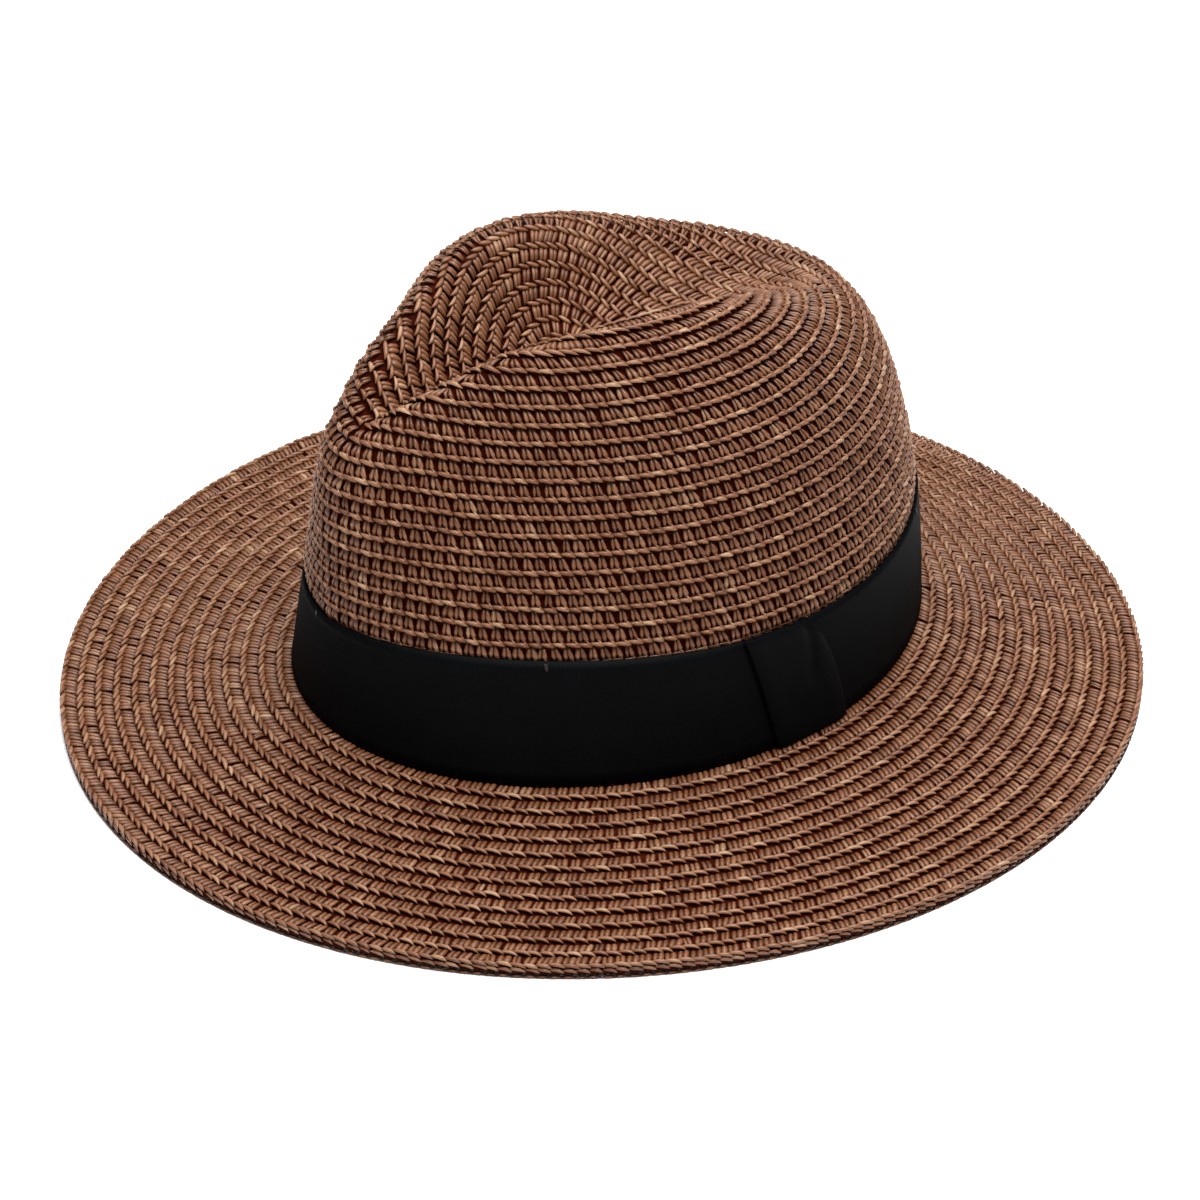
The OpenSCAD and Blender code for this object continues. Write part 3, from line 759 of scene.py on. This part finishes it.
class Rows:
    """Stitch places along the rows of one skin, in one long spiral."""

    def __init__(self, skin, first, last, inward, shingle, closed=False):
        """Rows number first to last. inward is 1 where row numbers grow towards the row's upper edge,
        shingle is how far each row stands over the next, and closed rows are rings and not a spiral."""
        self.skin, self.inward, self.shingle, self.closed = skin, inward, shingle, closed
        t = np.arange(0, 360.5, 1.0)
        places = []
        for row in range(first, last):
            step = 0 if closed else spiral_step(np.minimum(t, 359.999))
            p = skin.place(t, row + ROW_MIDDLE + step, 0.0)
            length = np.concatenate([[0], np.cumsum(np.linalg.norm(np.diff(p, axis=0), axis=-1))])
            count = max(int(round(length[-1] / STITCH)), 6)
            for i in range(count):
                at = np.interp((i + 0.5) / count * length[-1], length, t)
                places.append((at, row, length[-1] / count))
        self.places = np.array(places)

    def lay(self, name, stitch, low=0, high=None, under=False, squeeze=None, raised=0.0):
        """Copies the stitch to the places from number low to high, as one piece. under turns it to the
        underside, squeeze changes its height, and raised mm are added to its height on both sides."""
        points, faces, marks, number = stitch
        places = self.places[low:high]
        n, m = len(places), len(points)
        t0, row, pitch = [places[:, i][:, None] for i in range(3)]
        x, y, z = [np.tile(points[:, i], (n, 1)) for i in range(3)]
        is_leg = (number < 2)[None, :]
        # no two stitches are pulled quite alike
        spread = 1 + np.where(is_leg, LEG_SPREAD * hazard.randn(n, 1), LINK_SPREAD * hazard.randn(n, 1))
        lean = np.where(is_leg, LEAN * hazard.randn(n, 1) * (y / ROW_W - 0.5), 0)
        x = x * pitch / STITCH * spread + lean + ALONG * hazard.randn(n, 1)
        y = y + np.where(is_leg, 0, ACROSS) * hazard.randn(n, 1)
        z = z + LIFT * hazard.randn(n, 1) * np.where(z > -0.2, 1, 0.3)
        if under:
            x = -x
        # millimetres along the row to degrees of t, at this row's own curve
        here, there = [self.skin.place(t0 + turn, row + ROW_MIDDLE, 0.0) for turn in (0.0, 1.0)]
        t = t0 + x / np.maximum(np.linalg.norm(there - here, axis=-1), 0.02)
        step = 0 if self.closed else spiral_step(t) + np.floor(t / 360)
        share = y / ROW_W
        k = row + step + (share if self.inward > 0 else 1 - share)
        # each row overlaps the next like a shingle
        height = z + self.shingle * (1 - 1.5 * share)
        if squeeze:
            height = squeeze(k, height)
        if under:
            height = UNDER_ROOT - PLAIT_T - raised - height * UNDER_SHARE
        else:
            height = height + raised
        xyz = worn(self.skin.place(t, k, height))
        offsets = (np.arange(n) * m)[:, None, None]
        groups = []
        for size in sorted({len(f) for f in faces}):
            block = np.array([f[::-1] if under else f for f in faces if len(f) == size])
            groups.append((block[None] + offsets).reshape(-1, size))
        piece = mesh_piece(name, xyz.reshape(-1, 3), groups, straw)
        stitch_tone = 0.5 + STITCH_TONE * hazard.randn(n, 1)
        strand_tone = stitch_tone + STRAND_TONE * hazard.randn(n, int(number.max()) + 1)
        strand_tone[:, 2:] += LINK_LIGHTER
        lay_number(piece, "tone", np.clip(strand_tone[:, number], 0, 1).reshape(-1))
        # rise is each point's height in its stitch, which the straw material turns into painted shade low
        # down
        lay_number(piece, "rise", np.tile(np.clip((points[:, 2] + 0.9) / 1.4, 0, 1), n))
        shift = np.repeat(hazard.rand(n, 1) * 90, m, axis=1)
        along = np.where(is_leg, marks[:, 0] * ROW_W, marks[:, 0] * STITCH) + shift
        lay_uv(piece, "strand", np.stack([along.reshape(-1), np.tile(marks[:, 1] * 3, n)], axis=-1))
        return piece


def shell(name, skin, rows, top, bottom, face, back_face, closes=False):
    """The solid body of the plait behind the stitches, between two heights over a stretch of rows.
    face is the material of its outside, and back_face that of the rest. It ends in a rim, or closes
    on the button."""
    t, k = np.meshgrid(np.arange(0, 360, 2), rows, indexing="ij")
    out, back = [worn(skin.place(t, k, height(t, k))) for height in (top, bottom)]
    # the rows of the brim run the other way up, so its faces are turned round
    way = -1 if skin is brim else 1
    n, m = t.shape
    index = np.arange(n * m).reshape(n, m)
    nxt = np.roll(index, -1, axis=0)
    quads = np.stack([index[:, :-1], nxt[:, :-1], nxt[:, 1:], index[:, 1:]], axis=-1).reshape(-1, 4)
    quads = quads[:, ::way]
    offset = n * m
    rim = np.stack([index[:, 0], index[:, 0] + offset, nxt[:, 0] + offset, nxt[:, 0]], axis=-1)
    points = np.concatenate([out.reshape(-1, 3), back.reshape(-1, 3)])
    groups = [quads, quads[:, ::-1] + offset, rim[:, ::way]]
    if closes:
        tip = len(points)
        points = np.concatenate([points, out[:, -1].mean(axis=0)[None], back[:, -1].mean(axis=0)[None]])
        groups.append(np.stack([index[:, -1], nxt[:, -1], np.full(n, tip)], axis=-1))
        groups.append(np.stack([nxt[:, -1] + offset, index[:, -1] + offset, np.full(n, tip + 1)], axis=-1))
    else:
        lip = np.stack([nxt[:, -1], nxt[:, -1] + offset, index[:, -1] + offset, index[:, -1]], axis=-1)
        groups.append(lip[:, ::way])
    piece = mesh_piece(name, points, groups, back_face)
    piece.data.materials.append(face)
    outside = np.zeros(len(piece.data.polygons), np.int32)
    outside[:len(quads)] = 1
    piece.data.polygons.foreach_set("material_index", outside)
    lengths = np.linalg.norm(np.diff(out, axis=0, append=out[:1]), axis=-1).cumsum(axis=0) / MM
    uv = np.stack([lengths, k], axis=-1).reshape(-1, 2)
    lay_uv(piece, "rows", np.concatenate([uv, uv, np.zeros((len(points) - 2 * len(uv), 2))]))
    return piece


def cloth_strip(name, cuts, size, place, thickness, material, ring=False):
    """A strip of cloth: a flat grid with its size in mm, bent to its place, with its thickness added
    behind its face. place takes the distances along and up it and gives points in metres."""
    bpy.ops.object.select_all(action="DESELECT")
    bpy.ops.mesh.primitive_grid_add(x_subdivisions=cuts[0], y_subdivisions=cuts[1], size=1)
    piece = bpy.context.object
    piece.name = piece.data.name = name
    co = np.zeros(3 * len(piece.data.vertices))
    piece.data.vertices.foreach_get("co", co)
    along, up = (co.reshape(-1, 3)[:, :2] + 0.5).T * np.array(size)[:, None]
    piece.data.uv_layers[0].name = "cloth"
    lay_uv(piece, "cloth", np.stack([along, up], axis=-1))
    piece.data.vertices.foreach_set("co", place(along, up).astype(float).reshape(-1))
    if ring:
        bpy.ops.object.mode_set(mode="EDIT")
        bpy.ops.mesh.select_all(action="SELECT")
        bpy.ops.mesh.remove_doubles(threshold=0.00002)
        bpy.ops.object.mode_set(mode="OBJECT")
    wall = piece.modifiers.new("thickness", "SOLIDIFY")
    wall.thickness, wall.offset = thickness * MM, -1
    bpy.ops.object.modifier_apply(modifier="thickness")
    bpy.ops.object.shade_smooth()
    piece.data.materials.append(material)
    return piece


def thread_piece(name, paths, radius, material):
    """Lengths of thread through the given points, each one a closed round strand."""
    bpy.ops.object.select_all(action="DESELECT")
    data = bpy.data.curves.new(name, "CURVE")
    data.dimensions, data.use_fill_caps = "3D", True
    data.bevel_depth, data.bevel_resolution = radius * MM, 1
    for path in paths:
        line = data.splines.new("POLY")
        line.points.add(len(path) - 1)
        line.points.foreach_set("co", np.append(path, np.ones((len(path), 1)), axis=1).reshape(-1))
    piece = bpy.data.objects.new(name, data)
    bpy.context.scene.collection.objects.link(piece)
    bpy.context.view_layer.objects.active = piece
    piece.select_set(True)
    bpy.ops.object.convert(target="MESH")
    piece = bpy.context.object
    piece.data.materials.clear()
    piece.data.materials.append(material)
    return piece


# ---------------------------------------------------------------- the plait

RIBBON_TOP_ROW = (RIBBON_LOW + RIBBON_W) / ROW_W
# A piece of so many stitches stays under 200,000 triangles
PER_PIECE, PER_UNDER_PIECE = 1300, 2000
# How much each row stands over the next on the steep wall, and where it is pressed or lies flat
WALL_SHINGLE, TOP_SHINGLE, BRIM_SHINGLE = 0.42, 0.2, 0.18
# Heights of the plait's solid body from its outer face, behind the stitches of the crown and the brim
CROWN_CORE, BRIM_CORE, BRIM_CORE_UNDER = -0.9, -0.55, -1.75
# How far the fold of the edge row lies below the row that is turned over it
FOLD_LOWER = 1.6

# core is painted shade, a red-black that stands in for the shade deep between the stitches
straw, reverse, core = twisted_paper(), plait_back(), painted_shade_core()
steep = stitch_model(steep_strands(ROW_W, STITCH))
pressed = stitch_model(broad_strands(ROW_W, STITCH, wide=1.3, sunk=0, dive=-0.60))
open_work = stitch_model(broad_strands(ROW_W, STITCH, wide=1.15, sunk=0.14, dive=-1.15))
plain = stitch_model(plain_strands(ROW_W, STITCH))


def under_ribbon(k, height):
    """The ribbon presses the stitches under it flat."""
    over = np.clip((k - RIBBON_TOP_ROW - 0.05) / 0.25, 0, 1)
    return np.where(over < 1, np.minimum(height, 0.12 + 1.2 * over), height)


def sew(rows, name, stitch, per_piece, **how):
    """Lays the stitches of the rows in numbered pieces."""
    for i, low in enumerate(range(0, len(rows.places), per_piece)):
        dressed(rows.lay(f"{name}_{i + 1}", stitch, low, low + per_piece, **how))


def make_crown():
    wall, top = [Rows(crown, 6, CROWN_ROWS, 1, shingle) for shingle in (WALL_SHINGLE, TOP_SHINGLE)]
    # the rows over the crest and in the dent are pressed flatter than those of the wall
    crest = crown.rows[np.argmax(crown.points[:, :, 2], axis=1)]
    inside = wall.places[:, 1] > np.interp(wall.places[:, 0], degrees, crest, period=360) - 1.2
    wall.places, top.places = wall.places[~inside], top.places[inside]
    sew(wall, "wall_plait", steep, PER_PIECE, squeeze=under_ribbon)
    sew(top, "top_plait", pressed, PER_PIECE)

    def outer(t, k):
        return np.full(t.shape, CROWN_CORE)

    def inner(t, k):
        """The inner face has a low rib for each row."""
        share = np.mod(k - spiral_step(t), 1)
        return 0.2 - PLAIT_T - 0.35 * np.sin(pi * share) ** 0.7

    rows = np.arange(0, CROWN_ROWS - 0.3, ROW_SHARE)
    # the body's outside takes the painted shade of core, seen between the stitches
    body = shell("crown_body", crown, rows, outer, inner, core, reverse, closes=True)
    dressed(body, stands_for=["crown_side", "crown_tip"])


def make_brim():
    sewn = Rows(brim, -1, BRIM_ROWS - 1, -1, BRIM_SHINGLE)
    sew(sewn, "brim_plait", open_work, PER_PIECE)
    sew(sewn, "brim_under_plait", plain, PER_UNDER_PIECE, under=True)
    edge = Rows(brim, BRIM_ROWS - 1, BRIM_ROWS, -1, BRIM_SHINGLE, closed=True)
    dressed(edge.lay("edge_plait", open_work, raised=EDGE_BULGE), stands_for=["edge_row"])
    dressed(edge.lay("edge_fold", open_work, raised=EDGE_BULGE - FOLD_LOWER))
    dressed(edge.lay("edge_under_plait", plain, under=True, raised=EDGE_BULGE))

    def upper(t, k):
        return np.where(k > BRIM_ROWS - 1, EDGE_BULGE + BRIM_CORE, BRIM_CORE)

    def lower(t, k):
        return np.full(t.shape, BRIM_CORE_UNDER)

    rows = np.arange(-0.4, BRIM_ROWS - 0.12, ROW_SHARE)
    # both faces of the brim's body take the painted shade of core, seen between the stitches
    dressed(shell("brim_body", brim, rows, upper, lower, core, core), stands_for=["brim"])


# ---------------------------------------------------------------- ribbon and keeper

# Degrees of t to a millimetre at the sides of the hat
SIDE_DEGREES = 180 / (pi * out_a)
# The ribbon's cloth: the distance between its ribs, and its thickness without them, flat and folded
RIB, FLAT_T, FOLDED_T = 0.65, 0.65, 0.5
# Mean radius of the headline, for lengths round the hat
MEAN_RADIUS = ((out_a ** 2 + out_b ** 2) / 2) ** 0.5


def smooth_step(v):
    v = np.clip(v, 0, 1)
    return v * v * (3 - 2 * v)


def make_ribbon(cloth, thread):
    """The ribbon round the foot of the crown, with its ends under the keeper, and its thread tacks."""
    length = RIB * round(2 * pi * MEAN_RADIUS / RIB)

    def place(along, up):
        t = KEEPER_AT + 0.2 + along / length * 359.6
        edge = np.minimum(up, RIBBON_W - up)
        # a thicker selvedge, ribs from edge to edge, and a top edge that stands off a little in places
        selvedge = 0.10 * np.exp(-(edge / 0.5) ** 2)
        ribs = 0.075 * np.cos(2 * pi * along / RIB)
        waves = 0.5 + 0.5 * np.sin(np.radians(5 * t + 40)) * np.cos(np.radians(2 * t))
        slack = 0.30 * (up / RIBBON_W) ** 2 * waves
        sway = 0.25 * np.sin(np.radians(3 * t + 20)) * (up / RIBBON_W)
        return on_wall(t, RIBBON_LOW + up + sway, GAP + RIBBON_T - 0.12 + selvedge + ribs + slack)

    cuts = (round(2 * length / RIB), 10)
    ribbon = cloth_strip("ribbon", cuts, (length, RIBBON_W), place, FLAT_T, cloth)
    dressed(ribbon, stands_for=["hat_ribbon"])
    # each tack is three turns of thread over the ribbon's upper edge
    keeper_half = KEEPER_W / 2 * SIDE_DEGREES
    turns = []
    for i in range(TACK_COUNT):
        t = (KEEPER_AT + 2 * keeper_half + (360 - 4 * keeper_half) * (i + 0.5) / TACK_COUNT) % 360
        for side in (-0.3, 0.0, 0.3):
            z = RIBBON_LOW + RIBBON_W - 2 + np.array([-1.2, -1.0, 0, 1.0, 1.2])
            off = GAP + RIBBON_T + np.array([-0.1, 0.2, 0.3, 0.25, -0.1])
            turns.append(on_wall(t + side * SIDE_DEGREES + 0.1 * side * (z - z[2]), z, off))
    dressed(thread_piece("tack_threads", turns, 0.14, thread), stands_for=["ribbon_tacks"])


def make_keeper(cloth):
    """The keeper is a flattened tube of the same ribbon, drawn over the join, and its ribs run level."""
    high, round_it = RIBBON_W + 0.8, 2 * KEEPER_W + 3

    def place(along, up):
        turn = 2 * pi * along / round_it
        share = up / high
        across = -np.sign(np.cos(turn)) * np.abs(np.cos(turn)) ** 0.55
        face = np.sign(np.sin(turn)) * np.abs(np.sin(turn)) ** 0.45
        # its near edge leans with the hat, and its far edge flares out from a tuck at the top
        lean = KEEPER_LEAN * (0.5 - share)
        near = -KEEPER_W / 2 + lean
        far = KEEPER_W / 2 + lean - 6.5 * np.exp(-(1 - share) / 0.30) + 1.0 * share
        x = (near + far) / 2 + across * (far - near) / 2
        # the cloth swells at both edges and sinks in between, and a soft fold runs down from the tuck
        front = face > 0
        swell = (0.38 * np.exp(-((across + 0.78) / 0.22) ** 2)
                 + 0.30 * np.exp(-((across - 0.70) / 0.30) ** 2))
        fold_x = far - 1.5 - 9.5 * (1 - share) / 0.62
        fold = np.exp(-((x - fold_x) / 1.5) ** 2) * smooth_step((share - 0.38) / 0.2)
        rise = 0.45 * smooth_step((x - fold_x) / 5 + 0.2) * smooth_step((share - 0.3) / 0.5)
        tuck = 1.2 * np.exp(-((x - far + 1.2) / 1.8) ** 2 - ((share - 1) / 0.10) ** 2)
        ribs = 0.07 * np.cos(2 * pi * up / RIB)
        ends = 0.8 * (np.abs(2 * share - 1) ** 14)
        off = 2.4 + 0.85 * face + np.where(front, swell + rise - 0.85 * fold - tuck + ribs - ends, 0)
        return on_wall(KEEPER_AT + x * SIDE_DEGREES, RIBBON_LOW - 0.35 + up, off)

    cuts = (96, round(2 * high / RIB))
    keeper = cloth_strip("keeper", cuts, (round_it, high), place, FOLDED_T, cloth, ring=True)
    dressed(keeper, stands_for=["ribbon_keeper"])


# ---------------------------------------------------------------- inside the hat


def band_face(t, z):
    """How far outside the plait the sweatband's inner face is: it has a hem and a slightly wavy top."""
    up = z - SWEAT_LOW
    wave = 0.7 * np.clip((up - 14) / 16, 0, 1) ** 2 * (0.5 + 0.5 * np.sin(np.radians(6 * t + 30)))
    hem = 0.3 * smooth_step((up - SWEAT_H + 4.2) / 0.5)
    seam = -0.25 * np.exp(-((up - SWEAT_H + 4.4) / 0.35) ** 2)
    return BAND_FACE - wave - hem - seam


def rounded(along, up, size, radius):
    """Draws the corners of a rectangle in to a round of the radius. Distances are from its middle."""
    x, y = along - size[0] / 2, up - size[1] / 2
    past = np.clip((np.abs(y) - size[1] / 2 + radius) / radius, 0, 1)
    reach = size[0] / 2 - radius * (1 - np.sqrt(1 - past ** 2))
    return x / (size[0] / 2) * reach, y


# A stitch's five points: their places along it, and how deep each lies, as its ends dive into the cloth
ALONG_STITCH = (-0.58, -0.42, 0, 0.42, 0.58)
SINK = np.array([0.30, 0.06, 0.0, 0.06, 0.30])


def border(size, inset, pitch, stitch):
    """Running stitches round a rectangle: the points of each, measured from the rectangle's middle."""
    stitches = []
    w, h = size[0] / 2 - inset, size[1] / 2 - inset
    corners = [(-w, -h), (w, -h), (w, h), (-w, h)]
    for a, b in zip(corners, corners[1:] + corners[:1]):
        a, b = np.array(a), np.array(b)
        length = np.linalg.norm(b - a)
        count = max(int(length / pitch), 1)
        for i in range(count):
            middle, way = a + (b - a) * (i + 0.5) / count, (b - a) / length
            stitches.append(np.array([middle + way * stitch * v for v in ALONG_STITCH]).T)
    return stitches


# Millimetres to a degree of t round the band, where the join and the label lie
BAND_MM = (out_b - 3) * pi / 180 / 0.92
# Size and lower edge of the lapped join and of the label, and how far each stands off the band
LAP, LAP_LOW, LAP_LIFT = (2 * JOIN_HALF * BAND_MM, SWEAT_H - 2), SWEAT_LOW + 1, GAP + JOIN_T
TAG, TAG_LOW, TAG_LIFT = (2 * LABEL_HALF * BAND_MM, SWEAT_H - 12), SWEAT_LOW + 6, GAP + LABEL_T


def on_band(at, low, size, lift, radius):
    """Where a patch with rounded corners lies on the band: its edges are a little swollen."""
    def place(along, up):
        x, y = rounded(along, up, size, radius)
        t, z = at - x / BAND_MM, low + size[1] / 2 + y
        swell = 0.12 * np.exp(-((size[0] / 2 - np.abs(x)) / 1.0) ** 2)
        return on_wall(t, z, band_face(t, z) - lift - swell)
    return place


def make_sweatband(cloth):
    length = 2 * pi * (MEAN_RADIUS - 3.5)

    def band(along, up):
        t = 360 * (1 - along / length)
        z = SWEAT_LOW + up
        return on_wall(t, z, band_face(t, z))

    piece = cloth_strip("inner_band", (360, 48), (length, SWEAT_H), band, SWEAT_T - 0.1, cloth, ring=True)
    dressed(piece, stands_for=["sweatband"])


def make_join_and_label(cloth, label_cloth):
    lap_place = on_band(JOIN_AT, LAP_LOW, LAP, LAP_LIFT, 1.2)
    piece = cloth_strip("band_join", (24, 56), LAP, lap_place, JOIN_T, cloth)
    dressed(piece, stands_for=["sweatband_join"])
    tag_place = on_band(LABEL_AT, TAG_LOW, TAG, TAG_LIFT, 1.0)
    piece = cloth_strip("bare_label", (40, 32), TAG, tag_place, LABEL_T, label_cloth)
    dressed(piece, stands_for=["blank_label"])


def make_band_threads(thread):
    """Running stitches round the join and the label, and the long ones along the band's lower edge."""
    paths = []
    for at, low, size, lift in ((JOIN_AT, LAP_LOW, LAP, LAP_LIFT), (LABEL_AT, TAG_LOW, TAG, TAG_LIFT)):
        for x, y in border(size, 1.1, 2.6, 1.9):
            t, z = at - x / BAND_MM, low + size[1] / 2 + y
            paths.append(on_wall(t, z, band_face(t, z) - lift - 0.12 + SINK))
    dressed(thread_piece("border_threads", paths, 0.15, thread))
    paths = []
    for i in range(STITCH_COUNT):
        t = 360 * (i + 0.5) / STITCH_COUNT
        if abs(t - JOIN_AT) > JOIN_HALF + 3:
            x = np.array([-0.56, -0.45, 0, 0.45, 0.56]) * STITCH_LEN + 0.3 * hazard.randn()
            z = SWEAT_LOW + 1.6 + 0.2 * hazard.randn() + 0.1 * hazard.randn() * x / 2.5
            angle = t + x * SIDE_DEGREES * (1.0 + 0.2 * np.cos(np.radians(2 * t)) ** 2)
            paths.append(on_wall(angle, z, band_face(angle, z) - 0.22 + 1.3 * SINK))
    piece = thread_piece("band_threads", paths, 0.22, thread)
    dressed(piece, stands_for=["sweatband_stitches"])


def make_loop_tape(loop):
    """The loop tape on the back of the band."""
    tape = (2 * radians(STRAP_HALF_ANGLE) * strap_out, STRAP_W)

    def fuzzy(along, up):
        x, y = rounded(along, up, tape, 1.0)
        edge = np.minimum(tape[0] / 2 - np.abs(x), tape[1] / 2 - np.abs(y))
        nap = np.where(edge > 1.4, 0.16 * hazard.rand(len(x)), -0.05)
        angle = 90 + np.degrees(x / strap_out)
        return on_strap(angle, STRAP_W / 2 + y, strap_out - STRAP_T + 0.12 - nap)

    piece = cloth_strip("loop_tape", (150, 34), tape, fuzzy, STRAP_T - 0.15, loop)
    dressed(piece, stands_for=["size_strap"])


def make_size_tab(hook, thread):
    """The hook tab, at the start of its travel round the loop tape, with stitches round its edge."""
    radius = strap_out - 2 * STRAP_T - GAP
    rest = 90 - np.degrees(TAB_TRAVEL / radius) / 2
    tab = (TAB_LEN, STRAP_W - 2)

    def tongue(along, up):
        x, y = rounded(along, up, tab, 3.2)
        edge = np.minimum(tab[0] / 2 - np.abs(x), tab[1] / 2 - np.abs(y))
        soft = 0.35 * np.exp(-(edge / 0.7) ** 2) + 0.12 * np.exp(-((edge - 1.6) / 0.5) ** 2)
        return on_strap(rest + np.degrees(x / radius), STRAP_W / 2 + y, radius + soft)

    piece = cloth_strip("hook_tab", (60, 28), tab, tongue, STRAP_T - 0.3, hook)
    dressed(piece, body="size_tab", stands_for=["size_tab"])
    paths = []
    for x, y in border(tab, 1.7, 2.4, 1.8):
        paths.append(on_strap(rest + np.degrees(x / radius), STRAP_W / 2 + y, radius - 0.06 + SINK))
    dressed(thread_piece("tab_threads", paths, 0.14, thread), body="size_tab")


def make_bar_tacks(thread):
    """A bar tack over each end of the loop tape, each one thread run to and fro."""
    paths = []
    z = np.linspace(0.7, STRAP_W - 0.7, 57)
    to_and_fro = 0.6 * np.where(np.arange(len(z)) % 2, 1, -1)
    for side in (-1, 1):
        angle = 90 + side * (STRAP_HALF_ANGLE - 2) + to_and_fro
        paths.append(on_strap(angle, z, strap_out - STRAP_T - 0.18))
    piece = thread_piece("bar_tack_threads", paths, 0.15, thread)
    dressed(piece, stands_for=["strap_tacks"])


def make_floor():
    bpy.ops.object.select_all(action="DESELECT")
    bpy.ops.mesh.primitive_plane_add(size=8)
    ground = bpy.context.object
    ground.name = "floor"
    ground.data.materials.append(painted_floor())


def make_all():
    make_crown()
    make_brim()
    ribbon_cloth, band_cloth, thread = grosgrain(), cotton_twill(), spun_thread()
    make_ribbon(ribbon_cloth, thread)
    make_keeper(ribbon_cloth)
    make_sweatband(band_cloth)
    make_join_and_label(band_cloth, woven_satin())
    make_band_threads(thread)
    make_loop_tape(brushed_loop())
    make_size_tab(woven_tab(), thread)
    make_bar_tacks(thread)
    # the nylon line and its sleeve have the right shape already
    nylon = drawn_nylon()
    for name in ("edge_line", "edge_line_sleeve"):
        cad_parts[name].material_slots[0].material = nylon
    make_floor()


make_all()
look()
studio()
